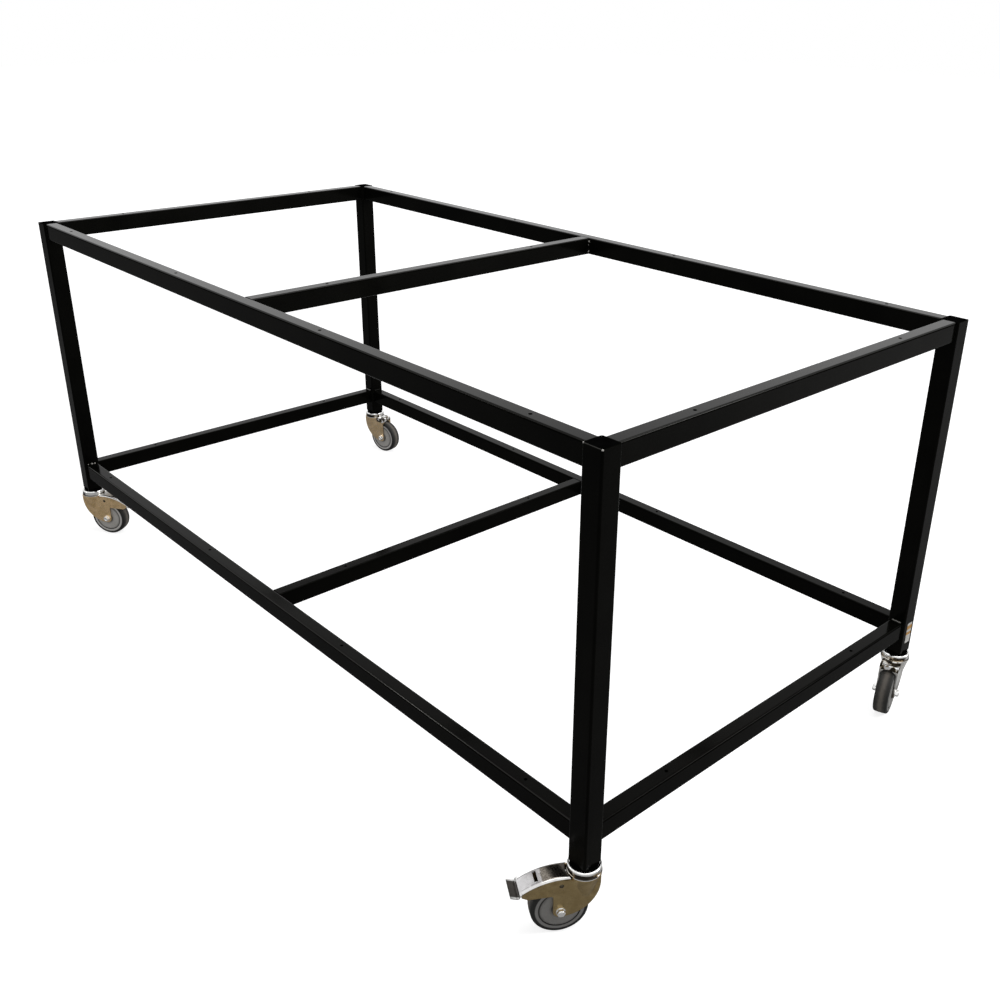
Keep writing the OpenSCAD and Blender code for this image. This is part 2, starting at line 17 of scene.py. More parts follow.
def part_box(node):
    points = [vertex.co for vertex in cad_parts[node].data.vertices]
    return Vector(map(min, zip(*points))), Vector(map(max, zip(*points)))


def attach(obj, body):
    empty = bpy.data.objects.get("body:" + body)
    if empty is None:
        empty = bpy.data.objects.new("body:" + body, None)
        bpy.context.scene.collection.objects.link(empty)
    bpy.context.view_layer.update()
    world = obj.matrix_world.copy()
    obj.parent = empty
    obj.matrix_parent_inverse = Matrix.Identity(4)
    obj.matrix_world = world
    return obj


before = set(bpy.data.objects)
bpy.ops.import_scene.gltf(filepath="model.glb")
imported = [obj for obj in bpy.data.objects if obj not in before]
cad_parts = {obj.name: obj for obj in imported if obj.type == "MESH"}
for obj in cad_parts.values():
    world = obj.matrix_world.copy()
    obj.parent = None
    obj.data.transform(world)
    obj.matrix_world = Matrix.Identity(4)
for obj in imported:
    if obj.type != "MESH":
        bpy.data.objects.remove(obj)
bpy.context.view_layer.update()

# %% [markdown]
# The photograph was taken from standing height beside the front right leg. A camera can be set
# by eye, or worked out from the places of corners whose real distances are known. The second way
# was taken here: the leg tops, rail ends and wheel centres gave the place, the three directions
# and the lens, whose focal length and sensor are in millimetres. The small shift is there because
# the picture was cropped off its middle.

# %% Camera
FOCAL_LENGTH, SENSOR_WIDTH = 39.548, 36.0
SHIFT = (-0.0400, -0.0071)
EYE = Vector((1.93183, -1.49011, 1.42817))
TO_RIGHT = Vector((0.679844, 0.733186, 0.015811))
TO_FLOOR = Vector((0.315414, -0.272867, -0.908877))
TO_TABLE = Vector((-0.662062, 0.622882, -0.416764))

lens = bpy.data.cameras.new("camera")
lens.sensor_width = SENSOR_WIDTH
lens.sensor_fit = "HORIZONTAL"
lens.lens = FOCAL_LENGTH
lens.shift_x, lens.shift_y = SHIFT
camera = bpy.data.objects.new("camera", lens)
bpy.context.scene.collection.objects.link(camera)
stand = Matrix((TO_RIGHT, -TO_FLOOR, -TO_TABLE)).transposed().to_4x4()
stand.translation = EYE
camera.matrix_world = stand
bpy.context.scene.camera = camera
bpy.context.scene.view_settings.view_transform = "Standard"
print("camera height", round(camera.location.z, 3), "m")

# %% [markdown]
# A finish is a material built from nodes. Each one starts the same way, with a Principled shader
# that runs into the output, and these helpers reach that shader again later: one steers a socket
# of it, and one lays a second colour over the first wherever an amount says so.

# %% Start of a finish
def new_finish(name, metallic, roughness, specular=0.5):
    finish = bpy.data.materials.new(name)
    finish.use_nodes = True
    finish.node_tree.nodes.clear()
    shader = finish.node_tree.nodes.new("ShaderNodeBsdfPrincipled")
    output = finish.node_tree.nodes.new("ShaderNodeOutputMaterial")
    finish.node_tree.links.new(shader.outputs["BSDF"], output.inputs["Surface"])
    shader.inputs["Metallic"].default_value = metallic
    shader.inputs["Roughness"].default_value = roughness
    shader.inputs["Specular IOR Level"].default_value = specular
    return finish


def shader_of(finish):
    return next(node for node in finish.node_tree.nodes if node.type == "BSDF_PRINCIPLED")


def steer(finish, name, value):
    finish.node_tree.links.new(value, shader_of(finish).inputs[name])


def mix(finish, amount, a, b):
    node = finish.node_tree.nodes.new("ShaderNodeMix")
    node.data_type = "RGBA"
    finish.node_tree.links.new(amount, node.inputs["Factor"])
    for name, value in (("A", a), ("B", b)):
        socket = [s for s in node.inputs if s.name == name and s.type == "RGBA"][0]
        if isinstance(value, tuple):
            socket.default_value = (*value, 1)
        else:
            finish.node_tree.links.new(value, socket)
    return [s for s in node.outputs if s.type == "RGBA"][0]


def colour_of(finish):
    return shader_of(finish).inputs["Base Color"].links[0].from_socket


def paint_over(finish, amount, colour):
    steer(finish, "Base Color", mix(finish, amount, colour_of(finish), colour))


print("start of a finish is ready")

# %% [markdown]
# Before the shader stand the nodes that make its colours and numbers. First come the coordinates
# of the piece itself, and plain sums. Two sums are needed most: a product scales or masks a number,
# and a comparison says where it is above a limit.

# %% Coordinates and sums
def place_of(finish):
    return finish.node_tree.nodes.new("ShaderNodeTexCoord").outputs["Object"]


def split(finish, vector):
    node = finish.node_tree.nodes.new("ShaderNodeSeparateXYZ")
    finish.node_tree.links.new(vector, node.inputs[0])
    return node.outputs


def combine(finish, a, how, b=0.0):
    node = finish.node_tree.nodes.new("ShaderNodeMath")
    node.operation = how
    for socket, value in zip(node.inputs, (a, b)):
        if isinstance(value, (int, float)):
            socket.default_value = value
        else:
            finish.node_tree.links.new(value, socket)
    return node.outputs[0]


def times(finish, a, b):
    return combine(finish, a, "MULTIPLY", b)


def above(finish, amount, limit):
    return combine(finish, amount, "GREATER_THAN", limit)


print("coordinates and sums are ready")

# %% [markdown]
# A noise is a cloud of numbers between 0 and 1, and its scale is roughly the number of patches in
# a metre. A span moves a number to other limits, a ramp turns it into colours, and a ramp that
# rises from black to white says where something is and where it isn't. A bump only tilts the
# light on a surface, so it is kept for grain and faint rings that the outline doesn't show.

# %% Noise, ramps and bump
BLACK, WHITE = (0, 0, 0), (1, 1, 1)


def span(finish, amount, low, high, start=0.0, end=1.0):
    node = finish.node_tree.nodes.new("ShaderNodeMapRange")
    for name, value in (("From Min", start), ("From Max", end), ("To Min", low), ("To Max", high)):
        node.inputs[name].default_value = value
    finish.node_tree.links.new(amount, node.inputs["Value"])
    return node.outputs["Result"]


def noise(finish, where, scale, detail=2.0):
    node = finish.node_tree.nodes.new("ShaderNodeTexNoise")
    node.inputs["Scale"].default_value = scale
    node.inputs["Detail"].default_value = detail
    finish.node_tree.links.new(where, node.inputs["Vector"])
    return node.outputs["Fac"]


def ramp(finish, amount, stops):
    node = finish.node_tree.nodes.new("ShaderNodeValToRGB")
    elements = node.color_ramp.elements
    for element, (position, colour) in zip(elements, (stops[0], stops[-1])):
        element.position = position
        element.color = (*colour, 1)
    for position, colour in stops[1:-1]:
        elements.new(position).color = (*colour, 1)
    finish.node_tree.links.new(amount, node.inputs["Fac"])
    return node.outputs["Color"]


def rising(finish, amount, start, end):
    return ramp(finish, amount, [(start, BLACK), (end, WHITE)])


def bump(finish, height, distance, strength):
    node = finish.node_tree.nodes.new("ShaderNodeBump")
    node.inputs["Distance"].default_value = distance
    node.inputs["Strength"].default_value = strength
    finish.node_tree.links.new(height, node.inputs["Height"])
    steer(finish, "Normal", node.outputs["Normal"])


print("noise, ramps and bump are ready")

# %% [markdown]
# Powder coat is sprayed on dry and melted in an oven. On faces that looked up there it flowed level
# and set glossier, so the height part of the normal steers the gloss. Upright faces stay almost
# black at any angle, while the flat tops catch the light at a shallow one and lose it again at a
# steep one, which a Layer Weight node tells apart. Round the tubes' corners the coat is pulled
# thin: the lower half of a corner stays dull, and its upper half has a gloss of its own.

# %% Where the coat shines
LEVEL_FROM = 0.9
STEEP_LOSS = 0.68


def upward(finish):
    normal = finish.node_tree.nodes.new("ShaderNodeTexCoord").outputs["Normal"]
    return combine(finish, split(finish, normal)["Z"], "MAXIMUM", 0.0)


def gloss_of(finish, up, upright, corner, flat):
    stops = [(0.0, upright), (0.1, upright), (0.16, 0.0), (0.5, 0.0),
             (0.62, corner), (0.94, corner), (0.99, flat)]
    return ramp(finish, up, [(position, (level, level, level)) for position, level in stops])


def steep_share(finish, up, steep, shallow):
    weight = finish.node_tree.nodes.new("ShaderNodeLayerWeight")
    weight.inputs["Blend"].default_value = 0.5
    loss = span(finish, weight.outputs["Facing"], STEEP_LOSS, 0.0, steep, shallow)
    return combine(finish, 1.0, "SUBTRACT", times(finish, above(finish, up, LEVEL_FROM), loss))


print("faces count as level from a normal height of", LEVEL_FROM)

# %% [markdown]
# The coat itself is nearly black and satin, with a fine orange peel that a light glides over and
# dust on its level faces. The shelf lies sheltered and has less dust than the top, and its corners
# stay dull. Only the front shelf rail, where goods slide in, is rubbed shiny along its upper edges.

# %% Black powder coat
COAT_TINT = (1.0, 0.97, 0.92, 1)
DUST = (0.27, 0.24, 0.205)


def powder_coat(name, depth, roughness, upright=0.0, flat=0.0, dust=0.0, corner=None, steep=None):
    finish = new_finish(name, metallic=0.0, roughness=roughness, specular=upright)
    shader_of(finish).inputs["Specular Tint"].default_value = COAT_TINT
    where = place_of(finish)
    thin = 0.5 * depth
    steer(finish, "Base Color", ramp(finish, noise(finish, where, 9.0, 3.0),
                                     [(0.3, (thin, thin, 0.8 * thin)), (0.7, (depth, depth, 0.8 * depth))]))
    up = upward(finish)
    if dust:
        specks = rising(finish, noise(finish, where, 420.0, 1.0), 0.55, 0.75)
        lie = times(finish, specks, above(finish, up, LEVEL_FROM))
        paint_over(finish, times(finish, lie, dust), DUST)
    if corner is None:
        gloss = span(finish, up, upright, flat)
    else:
        gloss = gloss_of(finish, up, upright, corner, flat)
    if steep:
        gloss = times(finish, gloss, steep_share(finish, up, *steep))
    steer(finish, "Specular IOR Level", gloss)
    steer(finish, "Roughness", span(finish, noise(finish, where, 30.0), roughness - 0.05, roughness + 0.05))
    bump(finish, noise(finish, where, 650.0), distance=0.00005, strength=0.2)
    return finish


SHELF = dict(depth=0.003, roughness=0.14, upright=0.021, flat=0.065, dust=0.01, steep=(0.33, 0.62))
top_coat = powder_coat("top_coat", depth=0.004, roughness=0.14, upright=0.034, flat=0.145, dust=0.015,
                       corner=0.1, steep=(0.61, 0.74))
shelf_coat = powder_coat("shelf_coat", corner=0.02, **SHELF)
rubbed_coat = powder_coat("rubbed_coat", corner=0.2, **SHELF)
# Nearly black and dull: a painted shadow for the rims round the screw holes.
hole_coat = powder_coat("hole_coat", depth=0.002, roughness=0.3)
leg_coat = powder_coat("leg_coat", depth=0.0035, roughness=0.16, upright=0.031)
print("powder coat:", top_coat.name, shelf_coat.name, rubbed_coat.name, hole_coat.name, leg_coat.name)

# %% [markdown]
# The weld beads were coated with the frame. Some are rubbed bare and shine all over. The full beads
# of the front shelf rail and of the middle top rail keep their coat, with painted glints in spots: a
# noise as coarse as a puddle picks them, below its threshold the bead is coat, above it a pale
# grey painted glint with a high specular level.

# %% Coat on the weld beads
BEAD_COAT = dict(depth=0.004, roughness=0.2, upright=0.03, flat=0.1)
BEAD_GLINT = (0.6, 0.58, 0.54)


def glinting_bead():
    finish = powder_coat("spotted_weld", **BEAD_COAT)
    # Pale grey spots where a noise is high: painted glints on the bead.
    glint = rising(finish, noise(finish, place_of(finish), 170.0, 1.0), 0.56, 0.6)
    paint_over(finish, glint, BEAD_GLINT)
    steer(finish, "Specular IOR Level", span(finish, glint, 0.03, 0.9))
    return finish


coated_weld = powder_coat("coated_weld", **BEAD_COAT)
bare_weld = powder_coat("bare_weld", depth=0.02, roughness=0.16, upright=0.8, flat=1.0, dust=1.0)
spotted_weld = glinting_bead()
print("beads:", coated_weld.name, bare_weld.name, spotted_weld.name)

# %% [markdown]
# The front right leg gets a painted glint, a pale steel grey, at the two front corners of its top,
# and a faint painted highlight along the thin rim between them. A corner tip is where both
# distances from the leg's middle are large at once, in the last millimetres of the leg. The other
# three legs have no painted glints.

# %% Painted glints on the tips of the front right leg
FRONT_FROM, CORNER_FROM = 0.0172, 0.0176
TIP_DEPTH, RIM_DEPTH = 0.002, 0.0006
RIM_HIGHLIGHT = 0.05
LEG_GLINT = (0.75, 0.73, 0.69)


def middle(node):
    low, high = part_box(node)
    return (low + high) / 2


def glinting_leg(node):
    finish = powder_coat("worn_leg_coat", depth=0.0035, roughness=0.16, upright=0.025)
    centre, top = middle(node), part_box(node)[1].z
    parts = split(finish, place_of(finish))
    sideways = combine(finish, combine(finish, parts["X"], "SUBTRACT", centre.x), "ABSOLUTE")
    forwards = combine(finish, centre.y, "SUBTRACT", parts["Y"])
    front = above(finish, forwards, FRONT_FROM)
    corner = times(finish, above(finish, sideways, CORNER_FROM), front)
    tip = times(finish, corner, above(finish, parts["Z"], top - TIP_DEPTH))
    rim = times(finish, front, above(finish, parts["Z"], top - RIM_DEPTH))
    # Pale steel grey on the corner tips and faintly along the rim: painted glints and a painted highlight.
    paint_over(finish, combine(finish, tip, "MAXIMUM", times(finish, rim, RIM_HIGHLIGHT)), LEG_GLINT)
    return finish


worn_leg_coat = glinting_leg("leg_front_right")
print("worn leg:", worn_leg_coat.name)

# %% [markdown]
# The caps, the plugs and the brake shoe are black too, but moulded. They are much rougher than
# the coat, with the fine grain of an eroded mould, so they look blacker beside it.

# %% Moulded blacks
def moulded_black(name, dark, light, roughness, grain):
    finish = new_finish(name, metallic=0.0, roughness=roughness, specular=0.0)
    where = place_of(finish)
    steer(finish, "Base Color", ramp(finish, noise(finish, where, 60.0), [(0.3, dark), (0.7, light)]))
    bump(finish, noise(finish, where, grain, 1.0), distance=0.0001, strength=0.4)
    return finish


black_plastic = moulded_black("black_plastic", dark=(0.0012, 0.0012, 0.0012),
                              light=(0.0025, 0.0025, 0.0025), roughness=0.8, grain=1400.0)
shoe_rubber = moulded_black("shoe_rubber", dark=(0.012, 0.012, 0.012), light=(0.02, 0.019, 0.018),
                            roughness=0.7, grain=900.0)
seal_rubber = moulded_black("seal_rubber", dark=(0.006, 0.006, 0.006), light=(0.01, 0.01, 0.01),
                            roughness=0.6, grain=900.0)
print("moulded blacks:", black_plastic.name, shoe_rubber.name, seal_rubber.name)

# %% [markdown]
# The caster's pressed parts are zinc-plated. Three forks have a warm brown colour with dark specks,
# a painted reflection of a brown floor that differs from fork to fork, and the fourth is grey. Each
# is a metal whose colour comes from a slow noise for the tint, a fine noise for the specks, and a
# roughness that wanders where hands and grit have been.

# %% Zinc
def zinc(name, dark, light, specks, speck_colour, rough):
    finish = new_finish(name, metallic=1.0, roughness=rough[0])
    where = place_of(finish)
    steer(finish, "Base Color", ramp(finish, noise(finish, where, 70.0, 3.0), [(0.32, dark), (0.68, light)]))
    spots = rising(finish, noise(finish, where, 900.0, 1.0), 1 - specks, 1.06 - specks)
    paint_over(finish, spots, speck_colour)
    steer(finish, "Roughness", span(finish, noise(finish, where, 120.0, 3.0), *rough))
    bump(finish, noise(finish, where, 240.0, 3.0), distance=0.0001, strength=0.25)
    return finish


BRIGHT = dict(dark=(0.8, 0.8, 0.79), light=(0.95, 0.95, 0.94), specks=0.26,
              speck_colour=(0.55, 0.54, 0.52), rough=(0.1, 0.2))
steel = zinc("steel", dark=(0.62, 0.62, 0.61), light=(0.8, 0.8, 0.79), specks=0.3,
             speck_colour=(0.4, 0.39, 0.37), rough=(0.2, 0.32))
bright_zinc = zinc("bright_zinc", **BRIGHT)
# The pedal rivet is a very dark brown: its plated head with painted shade over it.
rivet_zinc = zinc("rivet_zinc", dark=(0.05, 0.042, 0.028), light=(0.09, 0.075, 0.05), specks=0.4,
                  speck_colour=(0.02, 0.017, 0.012), rough=(0.3, 0.4))
# Per fork: dark and light colours of a painted brown reflection, share of specks, speck colour.
FORK_REFLECTION_TINTS = {
    "front_right": ((0.28, 0.205, 0.095), (0.36, 0.27, 0.135), 0.36, (0.1, 0.085, 0.06)),
    "front_left": ((0.66, 0.46, 0.23), (0.85, 0.62, 0.36), 0.42, (0.3, 0.24, 0.16)),
    "back_right": ((0.55, 0.54, 0.52), (0.85, 0.84, 0.82), 0.4, (0.25, 0.23, 0.2)),
    "back_left": ((0.66, 0.47, 0.24), (0.88, 0.66, 0.4), 0.45, (0.33, 0.31, 0.29)),
}
fork_finishes = {caster: zinc("fork_zinc_" + caster, *tint, rough=(0.24, 0.36))
                 for caster, tint in FORK_REFLECTION_TINTS.items()}
print("zinc:", steel.name, bright_zinc.name, rivet_zinc.name, len(fork_finishes), "forks")

# %% [markdown]
# The edge of a stain, or of a painted band of light or shade, is never a ruled line, so a number
# is frayed by a noise before a ramp reads it. A share counts a height from 0 at one level to 1 at
# another, and the vector sums give distances. The falling ramp is the rising one turned round.

# %% Helpers for stains and painted bands
def share_of(finish, amount, low, high):
    return combine(finish, combine(finish, amount, "SUBTRACT", low), "DIVIDE", high - low)


def combine_vectors(finish, a, how, b=(0, 0, 0)):
    node = finish.node_tree.nodes.new("ShaderNodeVectorMath")
    node.operation = how
    finish.node_tree.links.new(a, node.inputs[0])
    if isinstance(b, tuple):
        node.inputs[1].default_value = b
    else:
        finish.node_tree.links.new(b, node.inputs[1])
    return node.outputs["Value" if how in ("LENGTH", "DOT_PRODUCT") else "Vector"]


def frayed(finish, amount, where, scale, reach, detail=3.0):
    return combine(finish, amount, "ADD", span(finish, noise(finish, where, scale, detail), -reach, reach))


def falling(finish, amount, start, end):
    return ramp(finish, amount, [(start, WHITE), (end, BLACK)])


print("helpers for stains are ready")

# %% [markdown]
# The head cup is the bright zinc with a painted reflection, dark and bronze, round its side. The
# finish reads the height over the floor: nearly black or bronze on the upright side, bright again
# on the rounded shoulder and the top. Each cup has the painted reflection on one side only, and the
# list says towards where and from what distance to the swivel axis. A coarse noise chooses between
# black and bronze. The race ring below has the same painted reflection, apart from its lower edge.

# %% Head cup with a painted reflection
REFLECTION_SIDE = {
    "front_right": (0.25, -0.97, -0.004),
    "front_left": (-0.68, -0.73, 0.012),
    "back_right": (-0.14, -0.99, 0.002),
    "back_left": (0.2, -0.98, 0.004),
}
# Nearly black, bronze, then plating grey: the colours of the painted reflection.
REFLECTION_DARKS = [(0.44, (0.025, 0.022, 0.018)), (0.53, (0.05, 0.04, 0.03)), (0.56, (0.32, 0.23, 0.12)),
        (0.64, (0.6, 0.57, 0.52))]


def paint_reflection(finish, where, amount):
    paint_over(finish, amount, ramp(finish, noise(finish, where, 38.0), REFLECTION_DARKS))


def reflecting_side(finish, where, caster):
    east, north, start = REFLECTION_SIDE[caster]
    axis = middle("head_cup_" + caster)
    reach = combine_vectors(finish, where, "DOT_PRODUCT", (east, north, 0))
    past = combine(finish, reach, "SUBTRACT", east * axis.x + north * axis.y + start)
    return rising(finish, frayed(finish, past, where, 110.0, 0.009), 0.0, 0.003)


def reflecting_cup(caster):
    finish = zinc("cup_zinc_" + caster, **BRIGHT)
    where = place_of(finish)
    low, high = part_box("head_cup_" + caster)
    height = frayed(finish, split(finish, where)["Z"], where, 60.0, 0.002)
    upright = falling(finish, share_of(finish, height, low.z, high.z), 0.5, 0.6)
    paint_reflection(finish, where, times(finish, upright, reflecting_side(finish, where, caster)))
    return finish


# The race ring gets the same painted reflection above its lower edge.
def reflecting_race():
    finish = zinc("race_zinc", **BRIGHT)
    where = place_of(finish)
    low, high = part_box("lower_race_front_right")
    share = share_of(finish, split(finish, where)["Z"], low.z, high.z)
    paint_reflection(finish, where, rising(finish, share, 0.42, 0.52))
    return finish


cup_finishes = {caster: reflecting_cup(caster) for caster in REFLECTION_SIDE}
race_zinc = reflecting_race()
print("head:", [finish.name for finish in cup_finishes.values()], race_zinc.name)

# %% [markdown]
# Finishes of a wheel turn round its axle, and those of a pedal run along the trail, so both need
# coordinates of their own. A Mapping node of the texture kind moves the origin to a chosen point
# and turns X along the trail. The direction of each caster is read from its solids: from the
# head's centre to the axle's centre. The pedal and the fork count from the foot of the swivel
# axis on the floor, the wheel from its own centre.

# %% Coordinates along the trail and round the axle
CASTERS = ["front_right", "front_left", "back_right", "back_left"]


def trail_of(caster):
    trail = middle("tyre_" + caster) - middle("head_cup_" + caster)
    trail.z = 0
    return trail


def trail_place(finish, caster, origin):
    trail = trail_of(caster)
    node = finish.node_tree.nodes.new("ShaderNodeMapping")
    node.vector_type = "TEXTURE"
    node.inputs["Location"].default_value = origin
    node.inputs["Rotation"].default_value = (0, 0, math.atan2(trail.y, trail.x))
    finish.node_tree.links.new(place_of(finish), node.inputs["Vector"])
    return node.outputs["Vector"]


def axis_foot(caster):
    return middle("head_cup_" + caster).xy.to_3d()


def wheel_place(finish, caster):
    where = trail_place(finish, caster, middle("tyre_" + caster))
    flat = combine_vectors(finish, where, "MULTIPLY", (1, 0, 1))
    return where, combine_vectors(finish, flat, "LENGTH")


for caster in CASTERS:
    print(caster, "wheel centre", tuple(round(v, 4) for v in middle("tyre_" + caster)))

# %% [markdown]
# The plain forks keep their tint on the cheeks only: crown and front lip get the head's bright
# colour, with black patches that are a painted dark reflection and painted shade. So these two
# finishes get a second colour where a point lies high up and in front of the swivel axis. The grey
# fork also carries dried mud at its foot.

# %% Bright crown on the plain forks
CROWN_HEIGHT, CROWN_REACH = 0.1035, 0.024
SPLASH_TOP = 0.1
MUD = (0.1, 0.08, 0.055)
CROWN_REFLECTION_AND_SHADE = [(0.5, (0.03, 0.025, 0.018)), (0.525, (0.3, 0.23, 0.12)), (0.55, (0.85, 0.85, 0.85))]


def bright_crown(caster):
    finish = fork_finishes[caster]
    whole = place_of(finish)
    parts = split(finish, trail_place(finish, caster, axis_foot(caster)))
    high = above(finish, frayed(finish, parts["Z"], whole, 90.0, 0.002, 2.0), CROWN_HEIGHT)
    ahead = above(finish, parts["X"], CROWN_REACH)
    # Bright crown with black patches: painted reflection and painted shade.
    paint_over(finish, times(finish, high, ahead), ramp(finish, noise(finish, whole, 75.0, 3.0), CROWN_REFLECTION_AND_SHADE))


def muddy_foot(caster):
    finish = fork_finishes[caster]
    whole = place_of(finish)
    splash = frayed(finish, split(finish, whole)["Z"], whole, 80.0, 0.02)
    paint_over(finish, falling(finish, combine(finish, splash, "DIVIDE", SPLASH_TOP), 0.5, 0.72), MUD)


for caster in ("back_right", "back_left"):
    bright_crown(caster)
muddy_foot("back_right")
print("crowns and mud on:", fork_finishes["back_right"].name, fork_finishes["back_left"].name)

# %% [markdown]
# The brake pedal is plated like the head, but shoes have worn it. It is dull near the head, and
# darker on the right pedal, gritty grey-brown in the middle, rubbed bright from pad to tip. Its
# rolled sides keep the full plating colour all along as a painted highlight, and the lip holds dirt
# inside and has a painted highlight at its border. The stages follow the distance along the trail,
# frayed by a noise; sides and border follow the distance from the middle. All of them darken the
# plating by multiplying its colour.

# %% Worn pedal
HEAD_END = {"front_right": (0.09, 0.08, 0.072), "front_left": (0.4, 0.39, 0.38)}
PEDAL_REACH, LIP_FROM = 0.12, 0.1135
PEDAL_HALF_WIDTH, LIP_HALF_WIDTH = 0.02, 0.022


def wear_along(finish, caster, where, forward):
    along = combine(finish, frayed(finish, forward, where, 150.0, 0.006), "DIVIDE", PEDAL_REACH)
    grit = ramp(finish, noise(finish, where, 700.0, 1.0),
                [(0.42, (0.2, 0.175, 0.145)), (0.6, (0.42, 0.385, 0.34))])
    rubbed = ramp(finish, along, [(0.62, (0.72, 0.71, 0.72)), (0.93, (0.85, 0.84, 0.86))])
    start = mix(finish, falling(finish, along, 0.28, 0.4), grit, HEAD_END[caster])
    return mix(finish, rising(finish, along, 0.6, 0.63), start, rubbed)


def worn_pedal(caster):
    finish = zinc("pedal_zinc_" + caster, dark=(0.66, 0.65, 0.64), light=(0.85, 0.85, 0.84), specks=0.3,
                  speck_colour=(0.4, 0.38, 0.35), rough=(0.12, 0.22))
    where = trail_place(finish, caster, axis_foot(caster))
    parts = split(finish, where)
    aside = combine(finish, parts["Y"], "ABSOLUTE")
    # The rolled sides keep the full plating colour: a painted highlight.
    rolled_highlight = rising(finish, combine(finish, aside, "DIVIDE", PEDAL_HALF_WIDTH), 0.76, 0.84)
    wear_and_highlight = mix(finish, rolled_highlight, wear_along(finish, caster, where, parts["X"]), WHITE)
    # Dark inside the lip is dirt; its pale border is a painted highlight.
    lip_dirt_and_highlight = ramp(finish, combine(finish, aside, "DIVIDE", LIP_HALF_WIDTH),
               [(0.8, (0.07, 0.064, 0.058)), (0.9, (0.9, 0.9, 0.9))])
    wear_and_highlight = mix(finish, above(finish, parts["X"], LIP_FROM), wear_and_highlight, lip_dirt_and_highlight)
    steer(finish, "Base Color", combine_vectors(finish, colour_of(finish), "MULTIPLY", wear_and_highlight))
    return finish


pedal_finishes = {caster: worn_pedal(caster) for caster in HEAD_END}
print("pedals:", [finish.name for finish in pedal_finishes.values()])

# %% [markdown]
# The tyre is dark grey rubber. The tread is paler in its middle and nearly black at the shoulders,
# painted shade on their rounding; the sidewall is a grey ring with painted shade at both its edges,
# and its grey differs from wheel to wheel as painted light. The bands are ramps over the wheel
# coordinates, with a noise that frays their edges on the tread, and a fine bump gives the rubber its
# dull grain.

# %% Tyre rubber
# Sidewall grey per wheel: paler on the left wheels, whose outer faces are lit more, as painted light.
LIT_WALL_GREY = {"front_right": 0.3, "front_left": 0.78, "back_right": 0.25, "back_left": 0.72}
TYRE_HALF_WIDTH, TYRE_RADIUS = 0.016, 0.05


def tyre_rubber(caster):
    finish = new_finish("tyre_rubber_" + caster, metallic=0.0, roughness=0.62, specular=0.3)
    grey = LIT_WALL_GREY[caster]
    where, radius = wheel_place(finish, caster)
    aside = combine(finish, split(finish, where)["Y"], "ABSOLUTE")
    across = combine(finish, frayed(finish, aside, where, 160.0, 0.002), "DIVIDE", TYRE_HALF_WIDTH)
    # Paler in the middle of the tread, falling to nearly black at the shoulders: painted shade.
    tread_and_shade = ramp(finish, across, [(0.12, (0.15, 0.135, 0.118)), (0.42, (0.045, 0.042, 0.038)),
                                  (0.75, (0.016, 0.016, 0.015))])
    out = combine(finish, radius, "DIVIDE", TYRE_RADIUS)
    # Dark at both edges of the sidewall ring: painted shade.
    wall = ramp(finish, out, [(0.725, (0.01, 0.01, 0.009)), (0.745, (0.9 * grey, 0.88 * grey, 0.85 * grey)),
                              (0.82, (grey, 0.98 * grey, 0.95 * grey)), (0.86, (0.012, 0.012, 0.011))])
    steer(finish, "Base Color", mix(finish, rising(finish, out, 0.93, 0.955), wall, tread_and_shade))
    bump(finish, noise(finish, where, 700.0), distance=0.00015, strength=0.4)
    return finish


tyre_finishes = {caster: tyre_rubber(caster) for caster in CASTERS}
print("tyres:", [finish.name for finish in tyre_finishes.values()])

# %% [markdown]
# The thread guards and the wheel centre are moulded grey plastic. The guards are turned discs
# with faint rings, so a wave that runs out with the radius makes the bump: it turns by 2200 radians
# in a metre, which puts the rings just under 3 mm apart. They are darker near the hub and the
# rim, painted shade in those recesses. The left wheels' greys are paler: painted light on their
# outer faces.

# %% Wheel plastics
# Grey scale per wheel: paler on the left wheels as painted light.
LIT_DISC_GREY = {"front_right": 1.2, "front_left": 2.4, "back_right": 1.0, "back_left": 2.2}
DISC_RADIUS = 0.0345
RING_TURN = 2200.0


def wheel_plastic(name, caster, light, dark):
    light, dark = (tuple(LIT_DISC_GREY[caster] * part for part in colour) for colour in (light, dark))
    finish = new_finish(name + "_" + caster, metallic=0.0, roughness=0.42, specular=0.45)
    where, radius = wheel_place(finish, caster)
    # Darker towards the hub and the rim: painted shade.
    hub_and_rim_shade = frayed(finish, combine(finish, radius, "DIVIDE", DISC_RADIUS), where, 130.0, 0.08)
    zones = [(0.4, dark), (0.55, light), (0.88, light), (0.98, dark)]
    steer(finish, "Base Color", ramp(finish, hub_and_rim_shade, zones))
    grain = rising(finish, noise(finish, where, 800.0, 1.0), 0.4, 0.6)
    paint_over(finish, times(finish, grain, 0.45), dark)
    rings = combine(finish, times(finish, radius, RING_TURN), "SINE")
    bump(finish, rings, distance=0.00012, strength=0.35)
    return finish


GUARD = dict(light=(0.27, 0.262, 0.25), dark=(0.15, 0.145, 0.135))
CENTRE = dict(light=(0.13, 0.128, 0.122), dark=(0.07, 0.068, 0.064))
guard_finishes = {caster: wheel_plastic("guard_plastic", caster, **GUARD) for caster in CASTERS}
wheel_finishes = {caster: wheel_plastic("wheel_plastic", caster, **CENTRE) for caster in CASTERS}
print("wheel plastics:", len(guard_finishes) + len(wheel_finishes))

# %% [markdown]
# Now the solids get their finishes. The name of a solid starts with what it is, so a short list of
# beginnings is enough, and the first beginning that fits counts. The parts whose finish differs
# from caster to caster look up their own caster's.

